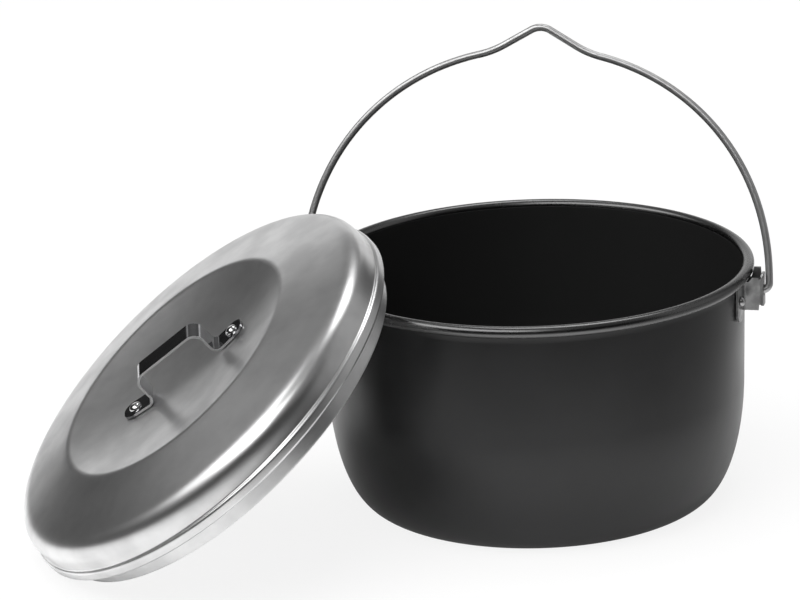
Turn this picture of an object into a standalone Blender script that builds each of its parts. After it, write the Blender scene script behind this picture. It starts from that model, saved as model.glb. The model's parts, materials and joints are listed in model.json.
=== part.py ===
"""Camp cooking billy: a spun pot with a rolled rim, a wire bail hooked into two
riveted ears, and a loose plug lid with a strap handle that leans on the pot.

Metres, +Z up. The origin is the middle of the pot's flat base, the ears lie on
the X axis, and the lid stands on the ground at the pot's left side.
"""
import math

import bmesh
import bpy
from mathutils import Matrix, Vector

# Driving sizes, in metres and degrees.
GAP = 0.0003                 # between pieces that touch
STEPS = 72                   # facets round the pot and the lid

POT_HEIGHT = 0.12435
RIM_DIAMETER = 0.2266        # over the rolled rim
ROLL_RADIUS = 0.0030
POT_SHEET = 0.0012
BASE_DIAMETER = 0.1710       # flat part of the base
CORNER_RISE = 0.0643         # height of the long curved corner
WALL_DRAFT = 0.0010          # the wall draws in by this from rim to corner

EAR_SHEET = 0.0012
HAT_DEPTH = 0.0111           # from the wall to the outer face of the web
HAT_HALF_WIDTH = 0.0050
HAT_BEND = 0.0008
WEB_HEIGHT = 0.0170
WEB_RISE = 0.0091            # from the hinge line up to the web's top edge
WEB_CORNER = 0.0026
SIDE_HEIGHT = 0.0168
STOP_RISE = 0.0034           # the back side wall rises above the front one by this
FLANGE_REACH = 0.0162        # from the ear's middle to the flange's end
FLANGE_HEIGHT = 0.0190
FLANGE_DROP = 0.0042         # the flange reaches below the side wall by this
FLANGE_BEND = 0.0014
FLANGE_CORNER = 0.0046
FLANGE_TOP_CORNER = 0.0020
HINGE_DROP = 0.01200         # from the top of the rim down to the hinge line
EAR_RIVET_OFFSET = 0.0117
EAR_RIVET_DROP = 0.0148

BAIL_WIRE = 0.0038
BAIL_STANDOFF = 0.0024       # wire's middle line from the ear's outer face
BAIL_RISE = 0.1195           # half axis of the great arc above the hinge line
BAIL_POWER = 2.08            # 2 is an ellipse, more is squarer
BAIL_KNEE_OFFSET = 0.0254    # where the arc ends and the peak starts
BAIL_PEAK = 0.1304           # hinge line to the middle of the wire at the peak
BAIL_PEAK_RADIUS = 0.0100
BAIL_LEAN = 17.0             # backwards from upright
BAIL_HOLE = 0.0058
BAIL_BUTTON = 0.0068         # upset end inside the ear
BAIL_BUTTON_LENGTH = 0.0012
BAIL_BUTTON_CHAMFER = 0.00045  # clears the bends beside the ear's web

LID_SHEET = 0.0010
LID_SKIRT = 0.0095
LID_BEAD_OVERHANG = 0.0009   # past the pot's rim
LID_BEAD_HEIGHT = 0.0059
LID_BEAD_CORNER = 0.0016
LID_WALL_STEP = 0.0017       # the wall stands in from the bead by this
LID_WALL_FOOT = 0.0092
LID_SHOULDER_WIDTH = 0.0106
LID_SHOULDER_HEIGHT = 0.0218
LID_SHOULDER_POWER = 3.2
LID_CREASE_DIAMETER = 0.1412
LID_CREASE_HEIGHT = 0.0287
LID_DISH_DEPTH = 0.0083
LID_LEAN = 39.64             # the lid's axis from upright
LID_LEAN_HEADING = 210.38    # where the axis points, seen from above
LID_SIDE_STEP = -0.0143      # sideways from the pot's axis

STRAP_WIDTH = 0.0135
STRAP_SHEET = 0.0012
STRAP_RISE = 0.0181          # dish middle to the outer face of the grip
STRAP_LEG_OFFSET = 0.0203
STRAP_TOP_BEND = 0.0064
STRAP_FOOT_BEND = 0.0034
STRAP_HALF_LENGTH = 0.0387
STRAP_TIP_WIDTH = 0.0024     # left straight at the very end of a foot
STRAP_RIVET_OFFSET = 0.0320
STRAP_OFFSET = 0.0024        # the strap sits off the lid's middle by this
STRAP_TURN = 16.4            # strap's direction from the uphill line

RIVET_SHANK = 0.0028
EAR_RIVET_HEAD = 0.0050
EAR_RIVET_DOME = 0.0021
LID_RIVET_HEAD = 0.0066
LID_RIVET_DOME = 0.0019
RIVET_TAIL = 0.0044
RIVET_TAIL_HEIGHT = 0.0009
RIVET_TAIL_CHAMFER = 0.0005
RIVET_STEPS = 16

# Sizes that follow from them.
RIM_RADIUS = RIM_DIAMETER / 2
ROLL_RING = RIM_RADIUS - ROLL_RADIUS
ROLL_HEIGHT = POT_HEIGHT - ROLL_RADIUS
MOUTH_RADIUS = ROLL_RING - ROLL_RADIUS
WALL_RADIUS = MOUTH_RADIUS + POT_SHEET
WALL_FOOT_RADIUS = WALL_RADIUS - WALL_DRAFT
BASE_RADIUS = BASE_DIAMETER / 2
HINGE_HEIGHT = POT_HEIGHT - HINGE_DROP
EAR_RIVET_HEIGHT = POT_HEIGHT - EAR_RIVET_DROP
ROLL_UNDERSIDE = ROLL_HEIGHT - ROLL_RADIUS
FLANGE_MIDDLE = WALL_RADIUS + GAP + EAR_SHEET / 2
FLANGE_OUTSIDE = WALL_RADIUS + GAP + EAR_SHEET
FLANGE_TOP = ROLL_UNDERSIDE - 2 * GAP
FLANGE_BOTTOM = FLANGE_TOP - FLANGE_HEIGHT
WEB_OUTSIDE = WALL_RADIUS + HAT_DEPTH
WEB_MIDDLE = WEB_OUTSIDE - EAR_SHEET / 2
WEB_TOP = HINGE_HEIGHT + WEB_RISE
WEB_BOTTOM = WEB_TOP - WEB_HEIGHT
BAIL_HALF_SPAN = WEB_OUTSIDE + BAIL_STANDOFF
BAIL_BEND = BAIL_STANDOFF + EAR_SHEET - GAP / 2
SIDE_BOTTOM = FLANGE_BOTTOM + FLANGE_DROP
SIDE_TOP = SIDE_BOTTOM + SIDE_HEIGHT
STOP_TOP = SIDE_TOP + STOP_RISE

LID_SKIRT_RADIUS = MOUTH_RADIUS - GAP
LID_BEAD_RADIUS = RIM_RADIUS + LID_BEAD_OVERHANG
LID_WALL_RADIUS = LID_BEAD_RADIUS - LID_WALL_STEP
LID_SHOULDER_RADIUS = LID_WALL_RADIUS - LID_SHOULDER_WIDTH
LID_CREASE_RADIUS = LID_CREASE_DIAMETER / 2
LID_DISH_MIDDLE = LID_CREASE_HEIGHT - LID_DISH_DEPTH

COLLECTION = "billy_can"
CUTTERS = "billy_can_cutters"


def clear_scene():
    for obj in list(bpy.data.objects):
        bpy.data.objects.remove(obj, do_unlink=True)


def make_collection(name):
    collection = bpy.data.collections.get(name)
    if collection is None:
        collection = bpy.data.collections.new(name)
        bpy.context.scene.collection.children.link(collection)
    return collection


def make_material(name, colour, roughness, metallic):
    material = bpy.data.materials.new(name)
    material.use_nodes = True
    shader = material.node_tree.nodes["Principled BSDF"]
    shader.inputs["Base Color"].default_value = (*colour, 1.0)
    shader.inputs["Roughness"].default_value = roughness
    shader.inputs["Metallic"].default_value = metallic
    return material


def link(obj, collection, material=None, parent=None):
    bpy.data.collections[collection].objects.link(obj)
    if material is not None:
        obj.data.materials.append(material)
    if parent is not None:
        obj.parent = parent
    return obj


def arc(centre, radii, start, end, steps):
    """Points on an ellipse with the half axes radii, from start to end in degrees."""
    points = []
    for k in range(steps + 1):
        angle = math.radians(start + (end - start) * k / steps)
        points.append((centre[0] + radii[0] * math.cos(angle),
                       centre[1] + radii[1] * math.sin(angle)))
    return points


def rounded_path(corners, radii, steps):
    """A flat path through the corners, each inner corner rounded to its radius."""
    points = [Vector(corners[0])]
    for before, corner, after, radius in zip(corners, corners[1:], corners[2:], radii):
        corner = Vector(corner)
        back = (Vector(before) - corner).normalized()
        ahead = (Vector(after) - corner).normalized()
        half = back.angle(ahead) / 2
        centre = corner + (back + ahead).normalized() * (radius / math.sin(half))
        first = corner + back * (radius / math.tan(half)) - centre
        turn = math.pi - 2 * half
        side = 1 if back.x * ahead.y - back.y * ahead.x < 0 else -1
        for k in range(steps + 1):
            points.append(centre + Matrix.Rotation(side * turn * k / steps, 2) @ first)
    points.append(Vector(corners[-1]))
    return points


def inset(profile, thickness):
    """The profile moved in by the sheet's thickness, mitred at its corners.
    The profile starts on the axis and runs down the outer side."""
    points = [Vector(p) for p in profile]
    normals = []
    for a, b in zip(points, points[1:]):
        along = (b - a).normalized()
        normals.append(Vector((along.y, -along.x)))
    result = [points[0] + Vector((0.0, -thickness))]
    for point, first, second in zip(points[1:-1], normals, normals[1:]):
        mitre = (first + second).normalized()
        result.append(point + mitre * (thickness / mitre.dot(first)))
    result.append(points[-1] + normals[-1] * thickness)
    return [(p.x, p.y) for p in result]


def turned(name, profile, steps, material, parent=None):
    """A profile in the XZ plane, turned about the object's Z axis."""
    mesh = bpy.data.meshes.new(name)
    points = [(r, 0.0, z) for r, z in profile]
    edges = [(k, k + 1) for k in range(len(points) - 1)]
    mesh.from_pydata(points, edges, [])
    obj = bpy.data.objects.new(name, mesh)
    screw = obj.modifiers.new("Turn", "SCREW")
    screw.steps = steps
    screw.render_steps = steps
    screw.use_merge_vertices = True
    screw.merge_threshold = 0.00001
    screw.use_smooth_shade = True
    return link(obj, COLLECTION, material, parent)


def bent_sheet(name, low_edge, high_edge, thickness, material, parent=None):
    """A bent strip, lofted between its two long edges and thickened."""
    mesh = bpy.data.meshes.new(name)
    bm = bmesh.new()
    chains = []
    for edge_points in (low_edge, high_edge):
        verts = [bm.verts.new(p) for p in edge_points]
        chains.extend(bm.edges.new(pair) for pair in zip(verts, verts[1:]))
    bmesh.ops.bridge_loops(bm, edges=chains)
    bm.to_mesh(mesh)
    bm.free()
    obj = bpy.data.objects.new(name, mesh)
    solid = obj.modifiers.new("Sheet", "SOLIDIFY")
    solid.thickness = thickness
    solid.offset = 0.0
    solid.use_even_offset = True
    return link(obj, COLLECTION, material, parent)


def make_cutter(name, places, diameter, length, parent=None):
    """Cylinders centred on each place's origin, along its Z axis."""
    mesh = bpy.data.meshes.new(name)
    bm = bmesh.new()
    for place in places:
        bmesh.ops.create_cone(bm, cap_ends=True, segments=RIVET_STEPS, radius1=diameter / 2,
                              radius2=diameter / 2, depth=length, matrix=place)
    bm.to_mesh(mesh)
    bm.free()
    cutter = bpy.data.objects.new(name, mesh)
    cutter.hide_render = True
    cutter.display_type = "WIRE"
    return link(cutter, CUTTERS, parent=parent)


def cut(obj, cutter):
    boolean = obj.modifiers.new(cutter.name, "BOOLEAN")
    boolean.operation = "DIFFERENCE"
    boolean.object = cutter
    boolean.solver = "EXACT"


def rivet_profile(head, dome, grip, tail):
    """Domed head above z = 0, shank through the grip, and a flat formed tail."""
    seat = -grip - GAP
    bottom = seat - RIVET_TAIL_HEIGHT
    points = arc((0.0, GAP), (head / 2, dome), 90, 0, 5)
    points.append((RIVET_SHANK / 2, GAP))
    points.append((RIVET_SHANK / 2, seat))
    points.append((tail / 2, seat))
    points.append((tail / 2, bottom + RIVET_TAIL_CHAMFER))
    points.append((tail / 2 - RIVET_TAIL_CHAMFER, bottom))
    points.append((0.0, bottom))
    return points


def shade(obj, angle=32.0):
    """Keeps the evaluated mesh and marks its edges sharp by angle."""
    graph = bpy.context.evaluated_depsgraph_get()
    mesh = bpy.data.meshes.new_from_object(obj.evaluated_get(graph))
    obj.modifiers.clear()
    obj.data = mesh
    mesh.name = obj.name
    mesh.shade_smooth()
    mesh.set_sharp_from_angle(angle=math.radians(angle))


def pot_profile():
    """From the middle of the floor up the inside, over the roll and down the
    outside to the middle of the base."""
    corner = (BASE_RADIUS, CORNER_RISE)
    outer = (WALL_FOOT_RADIUS - BASE_RADIUS, CORNER_RISE)
    inner = (outer[0] - POT_SHEET, outer[1] - POT_SHEET)
    tuck = -math.degrees(math.acos((WALL_RADIUS - ROLL_RING) / ROLL_RADIUS))
    points = [(0.0, POT_SHEET)]
    points += arc(corner, inner, -90, 0, 8)
    points += arc((ROLL_RING, ROLL_HEIGHT), (ROLL_RADIUS, ROLL_RADIUS), 180, tuck, 11)
    points += arc(corner, outer, 0, -90, 8)
    points.append((0.0, 0.0))
    return points


def dish_height(radius):
    return LID_DISH_MIDDLE + LID_DISH_DEPTH * (radius / LID_CREASE_RADIUS) ** 2


def lid_outer_profile():
    """From the middle of the dish over crease, cone, shoulder, wall and bead
    to the bottom of the skirt. Height zero is the bead's underside."""
    points = []
    for k in range(6):
        radius = LID_CREASE_RADIUS * k / 5
        points.append((radius, dish_height(radius)))
    # The shoulder starts along the cone and ends upright.
    cone = (LID_CREASE_HEIGHT - LID_SHOULDER_HEIGHT) / (LID_SHOULDER_RADIUS - LID_CREASE_RADIUS)
    fall = cone * LID_SHOULDER_WIDTH
    rise = LID_SHOULDER_HEIGHT - LID_WALL_FOOT - fall
    for k in range(7):
        angle = math.radians(90 - 15 * k)
        across = max(math.cos(angle), 0.0) ** (2 / LID_SHOULDER_POWER)
        up = max(math.sin(angle), 0.0) ** (2 / LID_SHOULDER_POWER)
        points.append((LID_SHOULDER_RADIUS + LID_SHOULDER_WIDTH * across,
                       LID_WALL_FOOT + rise * up + fall * (1 - across)))
    points.append((LID_WALL_RADIUS - GAP, LID_BEAD_HEIGHT + (LID_WALL_FOOT - LID_BEAD_HEIGHT) / 3))
    corner = LID_BEAD_CORNER
    points += arc((LID_BEAD_RADIUS - corner, LID_BEAD_HEIGHT - corner), (corner, corner), 90, 0, 3)
    points += arc((LID_BEAD_RADIUS - corner, corner), (corner, corner), 0, -90, 3)
    points.append((LID_SKIRT_RADIUS, 0.0))
    points.append((LID_SKIRT_RADIUS, -LID_SKIRT))
    return points


def ear_half(side_top):
    """Half of an ear in plan with the heights of its lower and upper edge: the
    web from its middle, the bend, the side wall and the flange on the pot."""
    side = HAT_HALF_WIDTH - EAR_SHEET / 2
    bend = HAT_BEND + EAR_SHEET / 2
    foot_bend = FLANGE_BEND + EAR_SHEET / 2
    foot = math.asin(side / FLANGE_MIDDLE)
    rows = []
    # Web with rounded ends.
    for y in (0.0, 0.5 * side, side - bend):
        rows.append((WEB_MIDDLE, y, round_drop(side - y, WEB_CORNER)))
    for x, y in arc((WEB_MIDDLE - bend, side - bend), (bend, bend), 0, 90, 3)[1:]:
        rows.append((x, y, round_drop(side - y, WEB_CORNER)))
    rows = [(x, y, WEB_BOTTOM + drop, WEB_TOP - drop) for x, y, drop in rows]
    # Side wall, stepped down where it goes under the roll.
    clear = RIM_RADIUS + 2 * GAP
    rows.append((WEB_MIDDLE - bend - GAP, side, SIDE_BOTTOM, side_top))
    rows.append((clear, side, SIDE_BOTTOM, side_top))
    rows.append((clear - 0.5 * ROLL_RADIUS, side, SIDE_BOTTOM, FLANGE_TOP))
    # Bend to the flange, then the flange along the wall, which rounds down to
    # its full height and ends in rounded corners.
    start = foot + foot_bend / FLANGE_MIDDLE
    inner = (FLANGE_MIDDLE + foot_bend) * math.cos(start)
    for x, y in arc((inner, side + foot_bend), (foot_bend, foot_bend), -90, -180, 2)[:2]:
        rows.append((x, y, SIDE_BOTTOM, FLANGE_TOP))
    end = FLANGE_REACH / FLANGE_MIDDLE
    for k in range(10):
        # Closer together towards both ends.
        angle = start + (end - start) * (1 - math.cos(math.pi * k / 9)) / 2
        run = (angle - start) * FLANGE_MIDDLE
        left = (end - angle) * FLANGE_MIDDLE
        drop = max(round_drop(run, FLANGE_DROP), round_drop(left, FLANGE_CORNER))
        rows.append((FLANGE_MIDDLE * math.cos(angle), FLANGE_MIDDLE * math.sin(angle),
                     FLANGE_BOTTOM + drop, FLANGE_TOP - round_drop(left, FLANGE_TOP_CORNER)))
    return rows


def ear_rows():
    """A whole ear from the front flange's end to the back one's. The side wall
    at the back is the taller one."""
    front = [(x, -y, low, high) for x, y, low, high in ear_half(SIDE_TOP)]
    return front[::-1] + ear_half(STOP_TOP)[1:]


def round_drop(distance, radius):
    """How far a rounded corner of this radius has come in, at a distance from
    the end of the piece."""
    inside = max(0.0, radius - max(0.0, distance))
    return radius - math.sqrt(radius ** 2 - inside ** 2)


def bail_points():
    """The wire's middle line with its thickness factor, from end to end, in
    the plane of the bail: across from the middle and up from the hinge line."""
    end = WEB_OUTSIDE - EAR_SHEET - GAP - BAIL_BUTTON_LENGTH
    button = BAIL_BUTTON / BAIL_WIRE
    face = (BAIL_BUTTON - 2 * BAIL_BUTTON_CHAMFER) / BAIL_WIRE
    half = [(end, 0.0, button), (end + BAIL_BUTTON_LENGTH - BAIL_BUTTON_CHAMFER, 0.0, button),
            (end + BAIL_BUTTON_LENGTH, 0.0, face),
            (end + BAIL_BUTTON_LENGTH + GAP / 3, 0.0, 1.0)]
    bend = (BAIL_HALF_SPAN - BAIL_BEND, BAIL_BEND)
    half += [(x, z, 1.0) for x, z in arc(bend, (BAIL_BEND, BAIL_BEND), -90, 0, 5)]
    # Great arc from the leg to the knee.
    start = math.asin((2 * BAIL_BEND / BAIL_RISE) ** (BAIL_POWER / 2))
    knee = math.acos((BAIL_KNEE_OFFSET / BAIL_HALF_SPAN) ** (BAIL_POWER / 2))
    great = []
    for k in range(17):
        angle = start + (knee - start) * k / 16
        great.append((BAIL_HALF_SPAN * math.cos(angle) ** (2 / BAIL_POWER),
                      BAIL_RISE * math.sin(angle) ** (2 / BAIL_POWER)))
    half += [(x, z, 1.0) for x, z in great]
    # Straight flanks of the peak, which meet above the rounded top.
    knee_point = great[-1]
    corner = BAIL_PEAK
    for _ in range(8):
        slope = math.atan2(corner - knee_point[1], knee_point[0])
        corner = BAIL_PEAK + BAIL_PEAK_RADIUS * (1 / math.cos(slope) - 1)
    peak = rounded_path([knee_point, (0.0, corner), (-knee_point[0], knee_point[1])],
                        [BAIL_PEAK_RADIUS], 8)
    top = [(p.x, p.y, 1.0) for p in peak[1:-1]]
    return half + top + [(-x, z, f) for x, z, f in reversed(half)]


def lid_basis():
    """The lid's axes in the world: strap direction, across the strap, axis."""
    lean = math.radians(LID_LEAN)
    heading = math.radians(LID_LEAN_HEADING)
    axis = Vector((math.sin(lean) * math.cos(heading), math.sin(lean) * math.sin(heading),
                   math.cos(lean)))
    level = Vector((0.0, 0.0, 1.0)).cross(axis).normalized()
    uphill = axis.cross(level)
    turn = math.radians(STRAP_TURN)
    strap = level * math.sin(turn) + uphill * math.cos(turn)
    return strap, axis.cross(strap), axis


def pot_distance(point):
    """Distance from a point to the outside of the pot's roll, wall or left ear."""
    radius = math.hypot(point.x, point.y)
    best = math.hypot(radius - ROLL_RING, point.z - ROLL_HEIGHT) - ROLL_RADIUS
    if point.z < ROLL_HEIGHT:
        best = min(best, max(radius - WALL_RADIUS, MOUTH_RADIUS - radius))
    if point.z > SIDE_BOTTOM - ROLL_RADIUS:
        across = abs(point.y) - HAT_HALF_WIDTH + WEB_CORNER
        top = STOP_TOP if point.y > 0.0 else WEB_TOP
        up = point.z - max(top, WEB_TOP) + WEB_CORNER
        out = -point.x - WEB_OUTSIDE
        if up > 0.0 and across > 0.0:
            side = math.hypot(across, up) - WEB_CORNER
        else:
            side = max(across, up) - WEB_CORNER
        if side > 0.0 and out > 0.0:
            ear = math.hypot(side, out)
        else:
            ear = max(side, out)
        best = min(best, ear)
    return best


def lid_place():
    """The lid stands on the ground on its lowest edge and leans on the pot: it
    is pushed towards the pot along its lean until the gap is GAP."""
    strap, across, axis = lid_basis()
    profile = lid_outer_profile()
    profile += [(r, z) for r, z in inset(profile, LID_SHEET) if r > LID_CREASE_RADIUS]
    lean = math.radians(LID_LEAN)
    height = max(r * math.sin(lean) - z * math.cos(lean) for r, z in profile)
    inward = Vector((-axis.x, -axis.y, 0.0)).normalized()
    sideways = Vector((0.0, 0.0, 1.0)).cross(inward)
    rings = [(r, z) for r, z in profile if r > LID_SHOULDER_RADIUS - LID_SHOULDER_WIDTH]
    rings += [(LID_SKIRT_RADIUS - LID_SHEET, -LID_SKIRT * k / 8) for k in range(9)]
    shape = []
    for r, z in rings:
        for k in range(STEPS * 4):
            angle = 2 * math.pi * k / (STEPS * 4)
            shape.append(strap * (r * math.cos(angle)) + across * (r * math.sin(angle)) + axis * z)

    def place(distance):
        return -inward * distance + sideways * LID_SIDE_STEP + Vector((0.0, 0.0, height + GAP / 10))

    def clear(distance):
        origin = place(distance)
        return all(pot_distance(origin + p) >= GAP for p in shape)

    far = RIM_RADIUS + LID_BEAD_RADIUS
    near = far
    while clear(near):
        far = near
        near -= LID_SKIRT / 2
    for _ in range(14):
        middle = (near + far) / 2
        if clear(middle):
            far = middle
        else:
            near = middle
    origin = place(far)
    frame = Matrix((strap, across, axis)).transposed().to_4x4()
    return Matrix.Translation(origin) @ frame


def strap_edges():
    """The strap's two long edges from one rounded foot over the grip to the
    other. Both feet follow the dish."""
    grip = LID_DISH_MIDDLE + STRAP_RISE - STRAP_SHEET / 2
    lift = GAP + STRAP_SHEET / 2
    half = STRAP_WIDTH / 2

    def foot(x):
        return x, dish_height(math.hypot(x, half)) + lift

    left, right = STRAP_OFFSET - STRAP_LEG_OFFSET, STRAP_OFFSET + STRAP_LEG_OFFSET
    tips = STRAP_OFFSET - STRAP_HALF_LENGTH, STRAP_OFFSET + STRAP_HALF_LENGTH
    top_bend = STRAP_TOP_BEND - STRAP_SHEET / 2
    path = rounded_path([foot(tips[0]), foot(left), (left, grip), (right, grip), foot(right),
                         foot(tips[1])],
                        [STRAP_FOOT_BEND, top_bend, top_bend, STRAP_FOOT_BEND], 6)
    # Rounded ends of the feet.
    first, last = path[0], path[-1]
    inwards = (path[1] - first).normalized(), (path[-2] - last).normalized()
    reach = [half * (1 - math.cos(math.radians(18 * k))) for k in range(6)]
    start = [first + inwards[0] * distance for distance in reach]
    end = [last + inwards[1] * distance for distance in reversed(reach)]
    low, high = [], []
    for p in start + path[1:-1] + end:
        left_over = STRAP_HALF_LENGTH - abs(p.x - STRAP_OFFSET)
        width = half - (half - STRAP_TIP_WIDTH / 2) / half * round_drop(left_over, half)
        low.append((p.x, -width, p.y))
        high.append((p.x, width, p.y))
    return low, high


def ear_rivet_places(side):
    """Rivets of one ear, front first: on the flange's outer face, axis outwards."""
    places = []
    for way in (-1, 1):
        angle = math.asin(EAR_RIVET_OFFSET / FLANGE_OUTSIDE) * way
        if side < 0:
            angle = math.pi - angle
        turn = Matrix.Rotation(angle, 4, "Z") @ Matrix.Rotation(math.radians(90), 4, "Y")
        spot = Vector((FLANGE_OUTSIDE * math.cos(angle), FLANGE_OUTSIDE * math.sin(angle),
                       EAR_RIVET_HEIGHT))
        places.append(Matrix.Translation(spot) @ turn)
    return places


def strap_rivet_places():
    """Rivets of the strap in the lid's frame, lower one first: on the foot's
    top face, square to the dish."""
    lift = GAP + STRAP_SHEET + GAP / 3
    places = []
    for x in (STRAP_OFFSET - STRAP_RIVET_OFFSET, STRAP_OFFSET + STRAP_RIVET_OFFSET):
        slope = 2 * LID_DISH_DEPTH * x / LID_CREASE_RADIUS ** 2
        spot = Vector((x, 0.0, dish_height(abs(x)) + lift))
        places.append(Matrix.Translation(spot) @ Matrix.Rotation(-math.atan(slope), 4, "Y"))
    return places


def build_pot(materials):
    places = {side: ear_rivet_places(side) for side in (1, -1)}
    everywhere = places[1] + places[-1]
    rivet_holes = make_cutter("rivet_holes", everywhere, RIVET_SHANK + 2 * GAP,
                              4 * (EAR_SHEET + POT_SHEET + GAP))
    hinge = Matrix.Translation((0.0, 0.0, HINGE_HEIGHT)) @ Matrix.Rotation(math.radians(90), 4, "Y")
    hinge_holes = make_cutter("hinge_holes", [hinge], BAIL_HOLE, 2 * WEB_OUTSIDE + BAIL_HOLE)

    pot = turned("pot_body", pot_profile(), STEPS, materials["pot"])
    cut(pot, rivet_holes)

    rows = ear_rows()
    low = [(x, y, bottom) for x, y, bottom, top in rows]
    high = [(x, y, top) for x, y, bottom, top in rows]
    pieces = [pot]
    for side, word in ((1, "right"), (-1, "left")):
        ear = bent_sheet("ear_bracket_" + word, [(x * side, y, z) for x, y, z in low],
                         [(x * side, y, z) for x, y, z in high], EAR_SHEET,
                         materials["ear"])
        cut(ear, rivet_holes)
        cut(ear, hinge_holes)
        pieces.append(ear)
        grip = EAR_SHEET + GAP + POT_SHEET + GAP / 2
        for place, end in zip(places[side], ("front", "back")):
            rivet = turned("ear_rivet_" + word + "_" + end,
                           rivet_profile(EAR_RIVET_HEAD, EAR_RIVET_DOME, grip, RIVET_TAIL),
                           RIVET_STEPS, materials["rivet"])
            rivet.matrix_world = place
            pieces.append(rivet)
    return pieces


def build_bail(materials):
    curve = bpy.data.curves.new("bail_wire", "CURVE")
    curve.dimensions = "3D"
    curve.bevel_depth = BAIL_WIRE / 2
    curve.bevel_resolution = 2
    curve.use_fill_caps = True
    points = bail_points()
    spline = curve.splines.new("POLY")
    spline.points.add(len(points) - 1)
    spline.use_smooth = True
    for point, (x, z, factor) in zip(spline.points, points):
        point.co = (x, 0.0, z, 1.0)
        point.radius = factor
    bail = link(bpy.data.objects.new("bail_wire", curve), COLLECTION, materials["bail"])
    bail.location = (0.0, 0.0, HINGE_HEIGHT)
    bail.rotation_euler = (math.radians(-BAIL_LEAN), 0.0, 0.0)
    return bail


def build_lid(materials):
    frame = bpy.data.objects.new("lid_frame", None)
    link(frame, COLLECTION)
    frame.matrix_world = lid_place()
    places = strap_rivet_places()
    holes = make_cutter("strap_holes", places, RIVET_SHANK + 2 * GAP,
                        4 * (STRAP_SHEET + LID_SHEET + GAP), parent=frame)
    outer = lid_outer_profile()
    shell = turned("lid_shell", outer + inset(outer, LID_SHEET)[::-1], STEPS,
                   materials["lid"], frame)
    cut(shell, holes)
    low, high = strap_edges()
    strap = bent_sheet("lid_handle", low, high, STRAP_SHEET, materials["strap"], parent=frame)
    cut(strap, holes)
    pieces = [shell, strap]
    grip = STRAP_SHEET + GAP + LID_SHEET + GAP
    for place, word in zip(places, ("lower", "upper")):
        rivet = turned("lid_rivet_" + word,
                       rivet_profile(LID_RIVET_HEAD, LID_RIVET_DOME, grip, RIVET_TAIL),
                       RIVET_STEPS, materials["strap_rivet"], frame)
        rivet.matrix_local = place
        pieces.append(rivet)
    return pieces


def main():
    clear_scene()
    make_collection(COLLECTION)
    make_collection(CUTTERS)
    materials = {
        "pot": make_material("dark_aluminium", (0.060, 0.060, 0.062), 0.30, 0.90),
        "ear": make_material("stamped_steel", (0.42, 0.42, 0.42), 0.34, 1.0),
        "rivet": make_material("rivet_aluminium", (0.50, 0.50, 0.50), 0.30, 1.0),
        "bail": make_material("drawn_steel_wire", (0.40, 0.40, 0.41), 0.30, 1.0),
        "lid": make_material("spun_aluminium", (0.60, 0.60, 0.60), 0.36, 1.0),
        "strap": make_material("polished_strap_steel", (0.45, 0.45, 0.46), 0.16, 1.0),
        "strap_rivet": make_material("strap_rivet_aluminium", (0.70, 0.70, 0.70), 0.20, 1.0),
    }
    solid = build_pot(materials)
    build_bail(materials)
    solid += build_lid(materials)
    bpy.context.view_layer.update()
    for obj in solid:
        shade(obj)


main()
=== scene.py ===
"""Camp billy, dressed: fine turned surfaces, bevelled sheet parts and metal
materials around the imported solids. Metres, +Z up, the pot's axis is Z."""

import json
import math

import bmesh
import bpy
from mathutils import Matrix, Vector


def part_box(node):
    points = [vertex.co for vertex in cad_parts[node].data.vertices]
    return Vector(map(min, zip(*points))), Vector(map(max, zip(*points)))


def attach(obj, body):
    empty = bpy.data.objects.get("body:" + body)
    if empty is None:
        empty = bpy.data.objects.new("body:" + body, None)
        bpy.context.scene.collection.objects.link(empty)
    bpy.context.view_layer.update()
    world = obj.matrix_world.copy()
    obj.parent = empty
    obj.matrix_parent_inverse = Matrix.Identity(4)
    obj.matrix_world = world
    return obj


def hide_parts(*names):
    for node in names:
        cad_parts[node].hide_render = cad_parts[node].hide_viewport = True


# Pot, in metres. Angles are in degrees here and below.
POT_SHEET = 0.0012
ROLL_RADIUS = 0.0030
ROLL_END = -112              # where the curled edge of the roll ends
BASE_DIAMETER = 0.1710
CORNER_RISE = 0.0643
WALL_DRAFT = 0.0010
ROLL_LIP = 0.0007            # depth of the crease behind the curled edge

# Ears and their rivets.
GAP = 0.0003
EAR_SHEET = 0.0012
HAT_DEPTH = 0.0111
HAT_HALF_WIDTH = 0.0050
HAT_BEND = 0.0008
WEB_HEIGHT = 0.0170
WEB_RISE = 0.0091
WEB_CORNER = 0.0026
SIDE_HEIGHT = 0.0168
STOP_RISE = 0.0034
FLANGE_REACH = 0.0162
FLANGE_HEIGHT = 0.0190
FLANGE_DROP = 0.0042
FLANGE_BEND = 0.0014
FLANGE_CORNER = 0.0046
FLANGE_TOP_CORNER = 0.0020
EAR_RIVET_OFFSET = 0.0117
EAR_RIVET_DROP = 0.0148
EDGE_ROUND = 0.00018         # rolled-over edge of stamped sheet

# Bail.
BAIL_WIRE = 0.0038
BAIL_STANDOFF = 0.0024
BAIL_RISE = 0.1195
BAIL_POWER = 2.08
BAIL_KNEE_OFFSET = 0.0254
BAIL_PEAK = 0.1303
BAIL_PEAK_RADIUS = 0.0100
BAIL_LEAN = 17.0
BAIL_HOLE = 0.0058
BAIL_BUTTON = 0.0068
BAIL_BUTTON_LENGTH = 0.0012
BAIL_BUTTON_FACE = 0.86      # width of the button's chamfered faces over its own

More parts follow.
